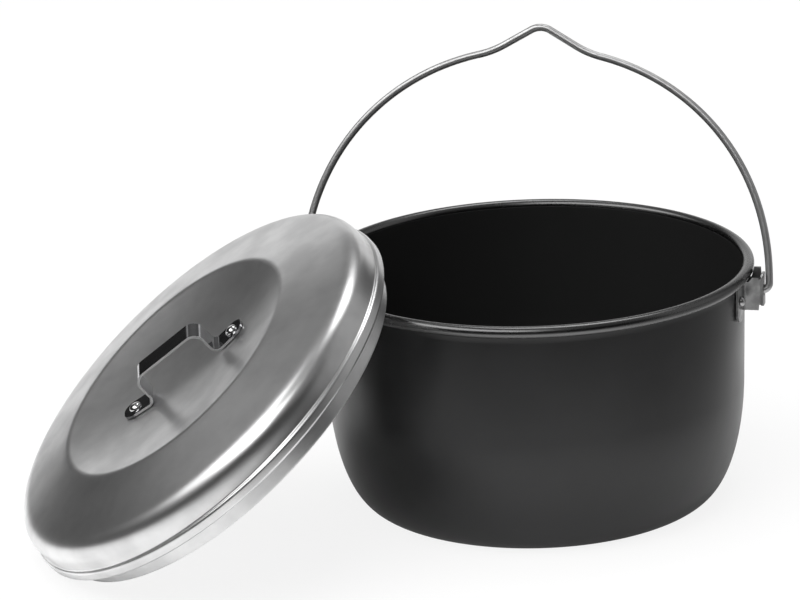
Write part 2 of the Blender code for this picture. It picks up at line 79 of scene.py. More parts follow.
# Lid.
LID_SHEET = 0.0010
LID_SKIRT = 0.0095
LID_BEAD_OVERHANG = 0.00085
LID_BEAD_HEIGHT = 0.0059
LID_BEAD_CORNER = 0.0016
LID_BEAD_START = 70          # where the bead's upper corner comes out of the cove
LID_COVE_END = 262
LID_WALL_STEP = 0.0017
LID_WALL_FOOT = 0.0092
LID_SHOULDER_WIDTH = 0.0106
LID_SHOULDER_HEIGHT = 0.0218
LID_SHOULDER_POWER = 3.2
LID_CREASE_DIAMETER = 0.1412
LID_CREASE_HEIGHT = 0.0287
LID_CREASE_ROUND = 0.0022
LID_DISH_DEPTH = 0.0083
LID_LEAN = 39.64
LID_LEAN_HEADING = 210.38

# Strap handle and rivets.
STRAP_WIDTH = 0.0135
STRAP_SHEET = 0.0012
STRAP_RISE = 0.0181
STRAP_LEG_OFFSET = 0.0203
STRAP_TOP_BEND = 0.0064
STRAP_FOOT_BEND = 0.0034
STRAP_HALF_LENGTH = 0.0387
STRAP_TIP_WIDTH = 0.0024
STRAP_RIVET_OFFSET = 0.0320
STRAP_OFFSET = 0.0024
STRAP_TURN = 16.4
RIVET_SHANK = 0.0028
EAR_RIVET_HEAD = 0.0050
EAR_RIVET_DOME = 0.0021
LID_RIVET_HEAD = 0.0066
LID_RIVET_DOME = 0.0019
RIVET_TAIL = 0.0044
RIVET_TAIL_HEIGHT = 0.0009
RIVET_TAIL_CHAMFER = 0.0005

# Steps round the turned pieces, round a hole and along the outlines.
POT_STEPS = 288
LID_STEPS = 288
RIVET_STEPS = 64
HOLE_STEPS = 48
POT_STRAIGHT_STEPS = 12
POT_CORNER_STEPS = 48
ROLL_STEPS = 52
DISH_STEPS = 30
CONE_STEPS = 10
SHOULDER_STEPS = 40
SKIRT_STEPS = 8
WEB_STEPS = 7
FLANGE_STEPS = 32
STRAP_TIP_STEPS = 18
BAIL_ARCH_STEPS = 64
BAIL_KNEE_POINTS = 4         # points of the arch that a rounded knee takes up

# Where edges turn sharp in the shading, and how close points are merged.
TURNED_SHARP = 34.0
SHEET_SHARP = 60.0
WIRE_SHARP = 40.0
MERGE_DISTANCE = 0.000005

# Camera: place, axes and lens of the photograph.
CAMERA_PLACE = (0.3996, -1.8184, 0.6976)
CAMERA_HEADING = 14.5        # left of +Y
CAMERA_DROP = 17.65
CAMERA_ROLL = 2.44
CAMERA_LENS = 171.2
CAMERA_SENSOR = 36.0

# The room that mirrors see: its glow at a low and a high elevation.
ROOM_LOW = 17.0
ROOM_HIGH = 42.0
ROOM_LOW_GLOW = 0.025
ROOM_HIGH_GLOW = 0.20

# Each soft box: its middle and half size (azimuth, elevation), edge, slant and
# strength. The first is the backdrop.
SOFT_BOXES = (
    ((101.3, -30.0), (29.5, 57.0), 4.0, 0.12, 1.0),
    ((-130.5, 46.5), (55.5, 13.5), 4.0, 0.0, 3.4),
    ((85.0, 70.0), (45.0, 12.0), 6.0, 0.0, 4.2),
    ((20.0, 30.0), (30.0, 30.0), 12.0, 0.0, 0.45),
)

# Each lamp: its name, place, width and power in watts.
LAMPS = (
    ("overhead_lamp", (-0.3, -0.4, 2.2), 1.8, 30.0),
    ("front_lamp", (-0.9, -1.7, 1.5), 1.2, 8.0),
)

# The floor. Seen in mirrors it goes from white to dark towards the front, the
# left and the right. FLOOR_LEFT is the level direction of its left.
FLOOR_HALF_SIZE = 6.0
FLOOR_HEIGHT = -0.0002
FLOOR_COLOUR = 0.90
FLOOR_CAMERA_GLOW = 0.87     # share of its own light that the camera sees
FLOOR_MIRROR_GLOW = 0.15
FLOOR_FRONT_WHITE = -0.20
FLOOR_FRONT_DARK = -0.46
FLOOR_FRONT_LEVEL = 0.15
FLOOR_LEFT = (-0.755, -0.656)
FLOOR_LEFT_WHITE = 0.24
FLOOR_LEFT_DARK = 0.80
FLOOR_LEFT_LEVEL = 0.15
FLOOR_RIGHT_WHITE = 0.10
FLOOR_RIGHT_DARK = 0.36
FLOOR_RIGHT_LEVEL = 0.30

# The pot's coat, its burnished roll and its inside.
COAT_IOR = 1.50
COAT_DARK = (0.007, 0.007, 0.0073, 1.0)
COAT_LIGHT = (0.011, 0.011, 0.0116, 1.0)
COAT_ROUGHNESS = (0.27, 0.32)
COAT_GRAIN_ROUGHNESS = 0.05
COAT_RELIEF = 0.00005
ROLL_COLOUR = (0.15, 0.15, 0.15, 1.0)
ROLL_POLISH = 0.05
INSIDE_COLOUR = (0.016, 0.016, 0.016, 1.0)

# The lid's spun sheet.
LID_METALLIC = 0.98
LID_SPECULAR = 0.3
LID_LIGHT = (0.82, 0.82, 0.82, 1.0)
LID_MARKED = (0.65, 0.65, 0.652, 1.0)
LID_ROUGHNESS = (0.283, 0.297)
LID_MARK_ROUGHNESS = 0.03
LID_DISH_ROUGHNESS = 0.02
LID_RELIEF = 0.0001

# Bare sheet and wire.
SHEET_RELIEF = 0.00006
# Painted highlight: a pale colour along the strap's cut edges, where they catch the light. Their
# roughness is the edges' own matt finish.
EDGE_HIGHLIGHT_COLOUR = (0.85, 0.85, 0.85, 1.0)
CUT_EDGE_ROUGHNESS = 0.35

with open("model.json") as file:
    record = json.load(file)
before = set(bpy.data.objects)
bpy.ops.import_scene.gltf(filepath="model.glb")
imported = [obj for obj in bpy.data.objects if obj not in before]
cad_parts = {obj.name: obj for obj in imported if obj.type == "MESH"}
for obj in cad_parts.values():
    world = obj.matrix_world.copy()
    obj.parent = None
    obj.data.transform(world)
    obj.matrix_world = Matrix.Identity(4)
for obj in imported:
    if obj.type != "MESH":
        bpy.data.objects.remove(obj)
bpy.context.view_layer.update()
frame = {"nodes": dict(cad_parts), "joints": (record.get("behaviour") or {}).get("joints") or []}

# Sizes that follow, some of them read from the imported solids.
POT_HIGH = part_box("pot_body")[1]
POT_HEIGHT = POT_HIGH[2]
RIM_RADIUS = POT_HIGH[0]
ROLL_RING = RIM_RADIUS - ROLL_RADIUS
ROLL_HEIGHT = POT_HEIGHT - ROLL_RADIUS
MOUTH_RADIUS = ROLL_RING - ROLL_RADIUS
WALL_RADIUS = MOUTH_RADIUS + POT_SHEET
WALL_FOOT_RADIUS = WALL_RADIUS - WALL_DRAFT
BASE_RADIUS = BASE_DIAMETER / 2
HINGE_HEIGHT = next(j["pos_m"][2] for j in frame["joints"] if j["name"] == "bail_hinge")
EAR_RIVET_HEIGHT = POT_HEIGHT - EAR_RIVET_DROP
FLANGE_MIDDLE = WALL_RADIUS + GAP + EAR_SHEET / 2
FLANGE_OUTSIDE = WALL_RADIUS + GAP + EAR_SHEET
FLANGE_TOP = ROLL_HEIGHT - ROLL_RADIUS - 2 * GAP
FLANGE_BOTTOM = FLANGE_TOP - FLANGE_HEIGHT
WEB_OUTSIDE = WALL_RADIUS + HAT_DEPTH
WEB_MIDDLE = WEB_OUTSIDE - EAR_SHEET / 2
WEB_TOP = HINGE_HEIGHT + WEB_RISE
WEB_BOTTOM = WEB_TOP - WEB_HEIGHT
BAIL_HALF_SPAN = WEB_OUTSIDE + BAIL_STANDOFF
BAIL_BEND = BAIL_STANDOFF + EAR_SHEET - GAP / 2
SIDE_BOTTOM = FLANGE_BOTTOM + FLANGE_DROP
SIDE_TOP = SIDE_BOTTOM + SIDE_HEIGHT
STOP_TOP = SIDE_TOP + STOP_RISE
LID_SKIRT_RADIUS = MOUTH_RADIUS - GAP
LID_BEAD_RADIUS = RIM_RADIUS + LID_BEAD_OVERHANG
LID_WALL_RADIUS = LID_BEAD_RADIUS - LID_WALL_STEP
LID_SHOULDER_RADIUS = LID_WALL_RADIUS - LID_SHOULDER_WIDTH
LID_CREASE_RADIUS = LID_CREASE_DIAMETER / 2
LID_DISH_MIDDLE = LID_CREASE_HEIGHT - LID_DISH_DEPTH


# Objects and meshes.

def link(obj, material=None):
    bpy.context.scene.collection.objects.link(obj)
    if material is not None:
        obj.data.materials.append(material)
    return obj


def settle(obj, body, slot, *nodes):
    """The piece keeps its place in its mesh, rides on a body and stands for its
    solids. The slot is not used."""
    obj.data.transform(obj.matrix_world)
    obj.matrix_world = Matrix.Identity(4)
    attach(obj, body)
    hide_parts(*nodes)


def apply_modifiers(obj):
    graph = bpy.context.evaluated_depsgraph_get()
    mesh = bpy.data.meshes.new_from_object(obj.evaluated_get(graph))
    obj.modifiers.clear()
    obj.data = mesh
    mesh.name = obj.name


def shade(mesh, sharp):
    """Smooth shading with the edges above an angle kept sharp."""
    mesh.shade_smooth()
    mesh.set_sharp_from_angle(angle=math.radians(sharp))


def shade_sheet(obj):
    """Smooth shading that leaves the flat faces beside small bends flat."""
    apply_modifiers(obj)
    shade(obj.data, SHEET_SHARP)
    weighted = obj.modifiers.new("Flat faces first", "WEIGHTED_NORMAL")
    weighted.keep_sharp = True
    apply_modifiers(obj)


def turned(name, profile, steps, material, matrix=Matrix.Identity(4)):
    mesh = bpy.data.meshes.new(name)
    points = [(r, 0.0, z) for r, z in profile]
    mesh.from_pydata(points, [(k, k + 1) for k in range(len(points) - 1)], [])
    obj = link(bpy.data.objects.new(name, mesh), material)
    screw = obj.modifiers.new("Turn", "SCREW")
    screw.steps = steps
    screw.render_steps = steps
    screw.use_merge_vertices = True
    screw.merge_threshold = MERGE_DISTANCE
    obj.matrix_world = matrix
    apply_modifiers(obj)
    shade(obj.data, TURNED_SHARP)
    return obj


def sheet_strip(name, low_edge, high_edge, thickness, material):
    """A bent strip between its two long edges, thickened."""
    mesh = bpy.data.meshes.new(name)
    bm = bmesh.new()
    chains = []
    for edge_points in (low_edge, high_edge):
        verts = [bm.verts.new(p) for p in edge_points]
        chains.extend(bm.edges.new(pair) for pair in zip(verts, verts[1:]))
    bmesh.ops.bridge_loops(bm, edges=chains)
    bm.to_mesh(mesh)
    bm.free()
    obj = link(bpy.data.objects.new(name, mesh), material)
    solid = obj.modifiers.new("Sheet", "SOLIDIFY")
    solid.thickness = thickness
    solid.offset = 0.0
    solid.use_even_offset = True
    return obj


def ease_edges(obj, width):
    bevel = obj.modifiers.new("Eased edges", "BEVEL")
    bevel.width = width
    bevel.segments = 3
    bevel.limit_method = "ANGLE"
    bevel.angle_limit = math.radians(50)
    bevel.use_clamp_overlap = True


def cut_hole(obj, place, diameter, length):
    """A round hole along the place's Z axis. Its cutter is returned."""
    mesh = bpy.data.meshes.new(obj.name + "_hole")
    bm = bmesh.new()
    bmesh.ops.create_cone(bm, cap_ends=True, segments=HOLE_STEPS, radius1=diameter / 2,
                          radius2=diameter / 2, depth=length, matrix=place)
    bm.to_mesh(mesh)
    bm.free()
    cutter = link(bpy.data.objects.new(obj.name + "_hole", mesh))
    boolean = obj.modifiers.new("Hole", "BOOLEAN")
    boolean.object = cutter
    boolean.solver = "EXACT"
    return cutter


# Outlines.

def ellipse_arc(centre, radii, start, end, steps):
    points = []
    for k in range(steps + 1):
        angle = math.radians(start + (end - start) * k / steps)
        points.append((centre[0] + radii[0] * math.cos(angle),
                       centre[1] + radii[1] * math.sin(angle)))
    return points


def arc(centre, radius, start, end, steps):
    return ellipse_arc(centre, (radius, radius), start, end, steps)


def between(first, last, steps):
    """The points that divide a straight line, without its ends."""
    shares = [k / steps for k in range(1, steps)]
    return [(first[0] + (last[0] - first[0]) * share, first[1] + (last[1] - first[1]) * share)
            for share in shares]


def parabola(start, corner, end, steps):
    """A curve that runs along the lines to the corner at both of its ends."""
    start, corner, end = Vector(start), Vector(corner), Vector(end)
    points = []
    for k in range(steps + 1):
        t = k / steps
        point = start * (1 - t) ** 2 + corner * (2 * t * (1 - t)) + end * t ** 2
        points.append((point.x, point.y))
    return points


def rounded_path(corners, radii, steps):
    """A flat path through the corners, each inner corner rounded to its radius."""
    points = [Vector(corners[0])]
    for before, corner, after, radius in zip(corners, corners[1:], corners[2:], radii):
        corner = Vector(corner)
        back = (Vector(before) - corner).normalized()
        ahead = (Vector(after) - corner).normalized()
        half = back.angle(ahead) / 2
        centre = corner + (back + ahead).normalized() * (radius / math.sin(half))
        first = corner + back * (radius / math.tan(half)) - centre
        turn = math.pi - 2 * half
        side = 1 if back.x * ahead.y - back.y * ahead.x < 0 else -1
        for k in range(steps + 1):
            points.append(centre + Matrix.Rotation(side * turn * k / steps, 2) @ first)
    points.append(Vector(corners[-1]))
    return points


def round_drop(distance, radius):
    """How far a round corner falls short of the square one, at a distance from
    its end."""
    inside = max(0.0, radius - max(0.0, distance))
    return radius - math.sqrt(radius ** 2 - inside ** 2)


def inset(profile, thickness):
    """The profile moved in by the sheet's thickness, mitred at its corners."""
    points = [Vector(p) for p in profile]
    normals = []
    for a, b in zip(points, points[1:]):
        along = (b - a).normalized()
        normals.append(Vector((along.y, -along.x)))
    result = [points[0] + Vector((0.0, -thickness))]
    for point, first, second in zip(points[1:-1], normals, normals[1:]):
        mitre = (first + second).normalized()
        result.append(point + mitre * (thickness / mitre.dot(first)))
    result.append(points[-1] + normals[-1] * thickness)
    return [(p.x, p.y) for p in result]


# Materials.

class Graph:
    """Short calls for building a node tree."""

    def __init__(self, tree):
        self.tree = tree

    def add(self, kind, inputs=(), **settings):
        node = self.tree.nodes.new(kind)
        for key, value in settings.items():
            setattr(node, key, value)
        for key, value in dict(inputs).items():
            socket = node.inputs[key]
            if isinstance(value, bpy.types.NodeSocket):
                self.tree.links.new(value, socket)
            else:
                socket.default_value = value
        return node

    def math(self, operation, *values):
        return self.add("ShaderNodeMath", enumerate(values), operation=operation).outputs[0]

    def ramp(self, value, low, high, to_low, to_high):
        """Smooth change from to_low to to_high while value goes from low to high."""
        inputs = {"Value": value, "From Min": low, "From Max": high,
                  "To Min": to_low, "To Max": to_high}
        return self.add("ShaderNodeMapRange", inputs, interpolation_type="SMOOTHSTEP").outputs[0]

    def noise(self, vector, scale, detail=3.0, roughness=0.5):
        inputs = {"Vector": vector, "Scale": scale, "Detail": detail, "Roughness": roughness}
        return self.add("ShaderNodeTexNoise", inputs).outputs["Fac"]

    def blend(self, factor, first, second):
        """A colour between two others."""
        inputs = {0: factor, 6: first, 7: second}
        return self.add("ShaderNodeMix", inputs, data_type="RGBA").outputs[2]

    def mean(self, first, second):
        return self.math("MULTIPLY", self.math("ADD", first, second), 0.5)

    def bump(self, height, distance, strength):
        inputs = {"Height": height, "Distance": distance, "Strength": strength}
        return self.add("ShaderNodeBump", inputs).outputs[0]


def new_material(name, **constants):
    """A material with its graph and its shader, some of whose inputs are set."""
    material = bpy.data.materials.new(name)
    material.use_nodes = True
    shader = material.node_tree.nodes["Principled BSDF"]
    for key, value in constants.items():
        shader.inputs[key.replace("_", " ")].default_value = value
    return material, Graph(material.node_tree), shader


def connect(graph, shader, **sockets):
    for key, value in sockets.items():
        graph.tree.links.new(value, shader.inputs[key.replace("_", " ")])


def own_coordinates(graph, matrix=None):
    """Coordinates along the axes of a piece that stands or leans somewhere."""
    place = graph.add("ShaderNodeTexCoord").outputs["Object"]
    if matrix is None:
        return place
    inputs = {"Vector": place, "Location": matrix.to_translation(), "Rotation": matrix.to_euler()}
    return graph.add("ShaderNodeMapping", inputs, vector_type="TEXTURE").outputs[0]


def spun_coordinates(graph, place, across, along):
    """Texture coordinates that run along the circles of a turned piece, with
    its radius and height."""
    x, y, z = graph.add("ShaderNodeSeparateXYZ", {0: place}).outputs
    radius = graph.math("SQRT", graph.math("ADD", graph.math("MULTIPLY", x, x),
                                           graph.math("MULTIPLY", y, y)))
    angle = graph.math("ARCTAN2", y, x)
    turn = graph.math("MULTIPLY", graph.math("COSINE", angle), along)
    inputs = {0: graph.math("MULTIPLY", radius, across),
              1: graph.math("MULTIPLY", graph.math("SINE", angle), along),
              2: graph.math("MULTIPLY_ADD", z, across, turn)}
    return graph.add("ShaderNodeCombineXYZ", inputs).outputs[0], radius, z


def inside_share(graph, place):
    """One where a face looks towards the middle of the pot's mouth, as those
    inside it do, and nought elsewhere."""
    normal = graph.add("ShaderNodeTexCoord").outputs["Normal"]
    outwards = graph.add("ShaderNodeVectorMath", {0: normal, 1: place}, operation="DOT_PRODUCT")
    upwards = graph.add("ShaderNodeSeparateXYZ", {0: normal}).outputs[2]
    facing = graph.math("SUBTRACT", outwards.outputs["Value"],
                        graph.math("MULTIPLY", upwards, POT_HEIGHT))
    return graph.ramp(facing, -BASE_RADIUS / 4, -BASE_RADIUS / 8, 1.0, 0.0)


def coat_material():
    """Dark hard coat of the pot: satin, faintly grained, with fine turning
    lines. On the roll it is burnished and mirrors more."""
    material, graph, shader = new_material("dark_hard_coat", IOR=COAT_IOR)
    place = own_coordinates(graph)
    spun, radius, height = spun_coordinates(graph, place, across=900.0, along=3.0)
    roll = graph.math("MAXIMUM",
                      graph.ramp(height, ROLL_HEIGHT - 2 * GAP, ROLL_HEIGHT, 0.0, 1.0),
                      graph.ramp(radius, WALL_RADIUS + GAP, WALL_RADIUS + 2 * GAP, 0.0, 1.0))
    cloud = graph.noise(place, scale=28.0, detail=4.0)
    lines = graph.noise(spun, scale=1.0, detail=2.0)
    grain = graph.noise(place, scale=2600.0, detail=2.0)
    coat = graph.blend(graph.ramp(cloud, 0.35, 0.65, 0.0, 1.0), COAT_DARK, COAT_LIGHT)
    coat = graph.blend(inside_share(graph, place), coat, INSIDE_COLOUR)
    colour = graph.blend(roll, coat, ROLL_COLOUR)
    rough = graph.math("ADD", graph.ramp(cloud, 0.3, 0.7, *COAT_ROUGHNESS),
                       graph.math("MULTIPLY", grain, COAT_GRAIN_ROUGHNESS))
    rough = graph.math("SUBTRACT", rough, graph.math("MULTIPLY", roll, ROLL_POLISH))
    bump = graph.bump(graph.mean(lines, grain), COAT_RELIEF, strength=0.06)
    connect(graph, shader, Base_Color=colour, Metallic=roll, Roughness=rough, Normal=bump)
    return material


def spun_material(matrix):
    """Spun aluminium of the lid: fine circular lines and faint cloudy marks.
    The dish is a little duller than the rest."""
    material, graph, shader = new_material("spun_aluminium", Metallic=LID_METALLIC,
                                           Specular_IOR_Level=LID_SPECULAR)
    place = own_coordinates(graph, matrix)
    spun, radius = spun_coordinates(graph, place, across=260.0, along=0.8)[:2]
    fine = graph.noise(spun, scale=1.0, detail=1.0)
    smudge = graph.noise(place, scale=42.0)
    wave = graph.noise(place, scale=34.0, detail=1.0)
    mark = graph.ramp(smudge, 0.32, 0.72, 0.0, 1.0)
    dish = graph.ramp(radius, LID_CREASE_RADIUS - LID_CREASE_ROUND,
                      LID_CREASE_RADIUS + LID_CREASE_ROUND, 1.0, 0.0)
    duller = graph.math("MULTIPLY_ADD", mark, LID_MARK_ROUGHNESS,
                        graph.math("MULTIPLY", dish, LID_DISH_ROUGHNESS))
    rough = graph.math("ADD", graph.ramp(fine, 0.3, 0.7, *LID_ROUGHNESS), duller)
    colour = graph.blend(mark, LID_LIGHT, LID_MARKED)
    bump = graph.bump(wave, LID_RELIEF, strength=0.25)
    connect(graph, shader, Base_Color=colour, Roughness=rough, Normal=bump)
    return material


def sheet_material(name, light, dark, roughness, grain_scale, stretch, strength,
                   metallic=1.0, matrix=None, cut_edge=None):
    """Bare steel or aluminium with fine drawn grain, marks and worn patches.
    Where cut_edge is given, the edges that far from its middle line are matt
    and carry a painted highlight, a paler colour."""
    material, graph, shader = new_material(name, Metallic=metallic)
    place = own_coordinates(graph, matrix)
    mapping = graph.add("ShaderNodeMapping", {"Vector": place, "Scale": stretch})
    grain = graph.noise(mapping.outputs[0], grain_scale, roughness=0.65)
    cloud = graph.noise(place, scale=120.0)
    mark = graph.ramp(cloud, 0.40, 0.66, 0.0, 1.0)
    colour = graph.blend(mark, (*light, 1.0), (*dark, 1.0))
    rough = graph.ramp(graph.mean(grain, cloud), 0.35, 0.65, *roughness)
    if cut_edge is not None:
        across = graph.math("ABSOLUTE", graph.add("ShaderNodeSeparateXYZ", {0: place}).outputs[1])
        # Painted highlight along the cut edges, a paler colour. The added roughness is their own
        # matt finish.
        edge = graph.ramp(across, cut_edge - EDGE_ROUND, cut_edge, 0.0, 1.0)
        colour = graph.blend(edge, colour, EDGE_HIGHLIGHT_COLOUR)
        rough = graph.math("MULTIPLY_ADD", edge, CUT_EDGE_ROUGHNESS, rough)
    bump = graph.bump(grain, SHEET_RELIEF, strength)
    connect(graph, shader, Base_Color=colour, Roughness=rough, Normal=bump)
    return material


def make_materials(lid_place):
    """The materials by name. Those of the lid follow its place."""
    return {
        "coat": coat_material(),
        "lid": spun_material(lid_place),
        "ear": sheet_material("stamped_steel", light=(0.44, 0.44, 0.44),
                              dark=(0.27, 0.27, 0.27), roughness=(0.28, 0.40),
                              grain_scale=900.0, stretch=(1.0, 1.0, 0.12), strength=0.05,
                              metallic=0.95),
        "rivet": sheet_material("rivet_metal", light=(0.56, 0.56, 0.56),
                                dark=(0.42, 0.42, 0.42), roughness=(0.24, 0.34),
                                grain_scale=500.0, stretch=(1.0, 1.0, 1.0), strength=0.05),
        "wire": sheet_material("drawn_wire", light=(0.56, 0.56, 0.56),
                               dark=(0.50, 0.50, 0.50), roughness=(0.34, 0.40),
                               grain_scale=400.0, stretch=(0.3, 1.0, 0.3), strength=0.01,
                               metallic=0.88),
        "strap": sheet_material("polished_strap", light=(0.44, 0.44, 0.45),
                                dark=(0.37, 0.37, 0.38), roughness=(0.07, 0.11),
                                grain_scale=800.0, stretch=(0.08, 1.0, 1.0), strength=0.01,
                                matrix=lid_place, cut_edge=STRAP_WIDTH / 2),
        "strap_rivet": sheet_material("polished_rivet", light=(0.78, 0.78, 0.78),
                                      dark=(0.68, 0.68, 0.68), roughness=(0.08, 0.16),
                                      grain_scale=400.0, stretch=(1.0, 1.0, 1.0),
                                      strength=0.03),
    }


# Studio.

def studio_floor():
    """A pale floor that the camera sees as white with a soft shadow. Mirrors
    see it lit by the lamps, and darker towards the front, left and right."""
    bpy.ops.mesh.primitive_grid_add(x_subdivisions=2, y_subdivisions=2,
                                    size=2 * FLOOR_HALF_SIZE,
                                    location=(0.0, 0.0, FLOOR_HEIGHT))
    floor = bpy.context.object
    floor.name = "studio_floor"
    material, graph, shader = new_material("studio_floor")
    graph.tree.nodes.remove(shader)
    place = graph.add("ShaderNodeTexCoord").outputs["Object"]
    across, depth = graph.add("ShaderNodeSeparateXYZ", {0: place}).outputs[:2]
    path = graph.add("ShaderNodeLightPath").outputs
    aside = graph.math("MULTIPLY_ADD", across, FLOOR_LEFT[0],
                       graph.math("MULTIPLY", depth, FLOOR_LEFT[1]))
    front = graph.ramp(depth, FLOOR_FRONT_DARK, FLOOR_FRONT_WHITE, FLOOR_FRONT_LEVEL, 1.0)
    left = graph.ramp(aside, FLOOR_LEFT_WHITE, FLOOR_LEFT_DARK, 1.0, FLOOR_LEFT_LEVEL)
    right = graph.ramp(across, FLOOR_RIGHT_WHITE, FLOOR_RIGHT_DARK, 1.0, FLOOR_RIGHT_LEVEL)
    lit = graph.math("MULTIPLY", graph.math("MULTIPLY", front, left), right)
    level = graph.math("MAXIMUM", graph.math("MULTIPLY", lit, FLOOR_COLOUR),
                       path["Is Camera Ray"])
    colour = graph.add("ShaderNodeCombineXYZ", {0: level, 1: level, 2: level})
    diffuse = graph.add("ShaderNodeBsdfDiffuse", {"Color": colour.outputs[0]})
    glow = graph.add("ShaderNodeEmission", {"Strength": 1.0})
    mirrored = graph.math("MULTIPLY", graph.math("MULTIPLY", lit, path["Is Glossy Ray"]),
                          FLOOR_MIRROR_GLOW)
    share = graph.math("ADD", graph.math("MULTIPLY", path["Is Camera Ray"], FLOOR_CAMERA_GLOW),
                       mirrored)
    mix = graph.add("ShaderNodeMixShader", {0: share, 1: diffuse.outputs[0], 2: glow.outputs[0]})
    graph.tree.links.new(mix.outputs[0], graph.tree.nodes["Material Output"].inputs[0])
    floor.data.materials.append(material)


def soft_box(graph, azimuth, elevation, centre, half, soft, slant):
    """A soft-edged box in the sky. Its sides lean by the slant."""
    parts = []
    leaning = graph.math("MULTIPLY_ADD", elevation, -slant, azimuth)
    for angle, middle, reach in zip((leaning, elevation), centre, half):
        turn = graph.math("SUBTRACT", angle, math.radians(middle))
        away = graph.math("ABSOLUTE", graph.math("WRAP", turn, math.pi, -math.pi))
        parts.append(graph.ramp(away, math.radians(reach - soft), math.radians(reach + soft),
                                1.0, 0.0))
    return graph.math("MULTIPLY", *parts)


def studio_world():
    """A white backdrop behind the object, a dim room elsewhere and soft boxes.
    The camera sees white all round."""
    world = bpy.data.worlds.new("studio")
    bpy.context.scene.world = world
    world.use_nodes = True
    world.node_tree.nodes.clear()
    graph = Graph(world.node_tree)
    direction = graph.add("ShaderNodeTexCoord").outputs["Generated"]
    x, y, z = graph.add("ShaderNodeSeparateXYZ", {0: direction}).outputs
    azimuth = graph.math("ARCTAN2", y, x)
    elevation = graph.math("ARCSINE", z)
    level = graph.ramp(elevation, math.radians(ROOM_LOW), math.radians(ROOM_HIGH),
                       ROOM_LOW_GLOW, ROOM_HIGH_GLOW)
    for centre, half, soft, slant, strength in SOFT_BOXES:
        box = soft_box(graph, azimuth, elevation, centre, half, soft, slant)
        level = graph.math("MAXIMUM", level, graph.math("MULTIPLY", box, strength))
    seen = graph.add("ShaderNodeLightPath").outputs["Is Camera Ray"]
    background = graph.add("ShaderNodeBackground", {"Strength": graph.math("MAXIMUM", level, seen)})
    output = graph.add("ShaderNodeOutputWorld")
    graph.tree.links.new(background.outputs[0], output.inputs[0])


def add_lamp(name, place, width, power):
    """A large soft lamp that lights matt surfaces and stays out of mirrors."""
    data = bpy.data.lights.new(name, "AREA")
    data.shape = "DISK"
    data.size = width
    data.energy = power
    lamp = link(bpy.data.objects.new(name, data))
    lamp.location = place
    lamp.rotation_euler = (-Vector(place)).to_track_quat("-Z", "Y").to_euler()
    lamp.visible_glossy = False
    lamp.visible_camera = False


def add_camera():
    heading = math.radians(CAMERA_HEADING)
    drop = math.radians(CAMERA_DROP)
    forward = Vector((-math.sin(heading) * math.cos(drop), math.cos(heading) * math.cos(drop),
                      -math.sin(drop)))
    right = Vector((math.cos(heading), math.sin(heading), 0.0))
    down = forward.cross(right)
    roll = math.radians(CAMERA_ROLL)
    across = right * math.cos(roll) + down * math.sin(roll)
    below = down * math.cos(roll) - right * math.sin(roll)
    data = bpy.data.cameras.new("camera")
    data.lens = CAMERA_LENS
    data.sensor_width = CAMERA_SENSOR
    data.sensor_fit = "HORIZONTAL"
    camera = link(bpy.data.objects.new("camera", data))
    axes = Matrix((across, -below, -forward)).transposed().to_4x4()
    camera.matrix_world = Matrix.Translation(CAMERA_PLACE) @ axes
    bpy.context.scene.camera = camera


# Pieces.

def pot_profile():
    """The pot in section, from the middle of its base up the inside, over the
    roll and down the outside."""
    corner = (BASE_RADIUS, CORNER_RISE)
    outer = (WALL_FOOT_RADIUS - BASE_RADIUS, CORNER_RISE)
    inner = (outer[0] - POT_SHEET, outer[1] - POT_SHEET)
    points = [(0.0, POT_SHEET)]
    points += between(points[-1], (BASE_RADIUS, POT_SHEET), POT_STRAIGHT_STEPS)
    points += ellipse_arc(corner, inner, -90, 0, POT_CORNER_STEPS)
    points += between(points[-1], (MOUTH_RADIUS, ROLL_HEIGHT), POT_STRAIGHT_STEPS)
    points += arc((ROLL_RING, ROLL_HEIGHT), ROLL_RADIUS, 180, ROLL_END, ROLL_STEPS)
    # Crease between the curled edge and the wall.
    lip = points[-1][1]
    points.append((WALL_RADIUS + POT_SHEET / 6, lip + ROLL_LIP))
    points.append((WALL_RADIUS, lip + ROLL_LIP / 2))
    points += between(points[-1], (WALL_FOOT_RADIUS, CORNER_RISE), POT_STRAIGHT_STEPS)
    points += ellipse_arc(corner, outer, 0, -90, POT_CORNER_STEPS)
    points += between((BASE_RADIUS, 0.0), (0.0, 0.0), POT_STRAIGHT_STEPS)
    points.append((0.0, 0.0))
    return points


def dish_height(radius):
    return LID_DISH_MIDDLE + LID_DISH_DEPTH * (radius / LID_CREASE_RADIUS) ** 2


def lid_crown():
    """Outer side from the middle of the dish over the rounded crease, the cone
    and the shoulder to the foot of the wall."""
    dish_end = LID_CREASE_RADIUS - LID_CREASE_ROUND
    points = []
    for k in range(DISH_STEPS + 1):
        radius = dish_end * k / DISH_STEPS
        points.append((radius, dish_height(radius)))
    cone = (LID_SHOULDER_HEIGHT - LID_CREASE_HEIGHT) / (LID_SHOULDER_RADIUS - LID_CREASE_RADIUS)
    crease = Vector((LID_CREASE_RADIUS, LID_CREASE_HEIGHT))
    crease_end = crease + Vector((LID_CREASE_ROUND, LID_CREASE_ROUND * cone))
    points += parabola(points[-1], crease, crease_end, steps=8)[1:]
    points += between(points[-1], (LID_SHOULDER_RADIUS, LID_SHOULDER_HEIGHT), CONE_STEPS)
    # The shoulder starts along the cone and ends upright.
    fall = -cone * LID_SHOULDER_WIDTH
    rise = LID_SHOULDER_HEIGHT - LID_WALL_FOOT - fall
    for k in range(SHOULDER_STEPS + 1):
        angle = math.radians(90 - 90 * k / SHOULDER_STEPS)
        across = max(math.cos(angle), 0.0) ** (2 / LID_SHOULDER_POWER)
        up = max(math.sin(angle), 0.0) ** (2 / LID_SHOULDER_POWER)
        points.append((LID_SHOULDER_RADIUS + LID_SHOULDER_WIDTH * across,
                       LID_WALL_FOOT + rise * up + fall * (1 - across)))
    return points


